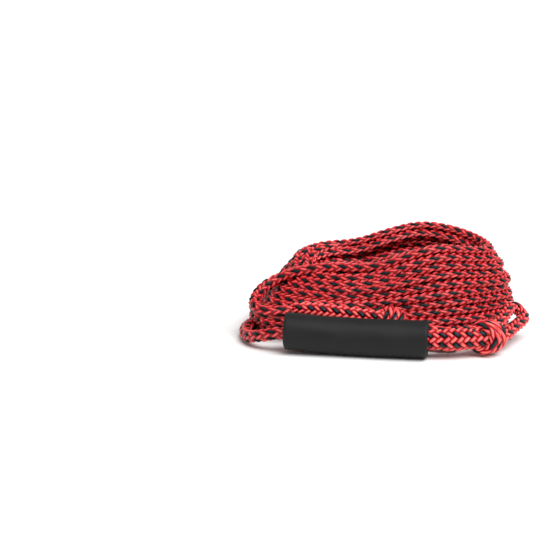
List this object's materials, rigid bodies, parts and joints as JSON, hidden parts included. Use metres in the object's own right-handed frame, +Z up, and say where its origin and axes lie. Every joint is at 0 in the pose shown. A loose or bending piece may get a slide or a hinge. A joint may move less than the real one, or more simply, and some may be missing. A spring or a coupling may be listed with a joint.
{
  "type": "tow rope handle",
  "caption": "Coiled hollow-braid tow rope with a soft grip sleeve on one spliced end, and a knot and an eye loop at each end.",
  "frame": {"origin": "on the floor, under the middle of the whole coiled rope's box", "axes": "+X right along the grip sleeve's side, +Y to the back of the coil, +Z up"},
  "size_m": [0.2798, 0.2436, 0.091],
  "materials": {
    "rope_braid": "glossy polyethylene yarn, red with black",
    "grip_rubber": "satin"
  },
  "bodies": {
    "rope": {"rope_coil": "rope_braid", "sleeve_end_lead": "rope_braid", "sleeve_end_splice": "rope_braid", "sleeve_end_knot": "rope_braid", "free_end_lead": "rope_braid", "free_end_splice": "rope_braid", "free_end_knot": "rope_braid"},
    "sleeve": {"grip_sleeve": "grip_rubber"},
    "sleeve_eye": {"sleeve_end_eye": "rope_braid"},
    "free_eye": {"free_end_eye": "rope_braid"}
  },
  "joints": [
    {"name": "sleeve_slide", "type": "slide", "parent": "rope", "child": "sleeve", "axis": [0.9847, -0.1736, -0.0175], "range_m": [-0.008, 0.008]},
    {"name": "sleeve_eye_swing", "type": "hinge", "parent": "rope", "child": "sleeve_eye", "pos_m": [0.0983, -0.07901, 0.0167], "axis": [0, 0, 1], "range_deg": [-50, 5]},
    {"name": "free_eye_lift", "type": "hinge", "parent": "rope", "child": "free_eye", "pos_m": [0.02278, -0.07034, 0.01716], "axis": [-0.1564, -0.9877, 0], "range_deg": [0, 45]}
  ]
}
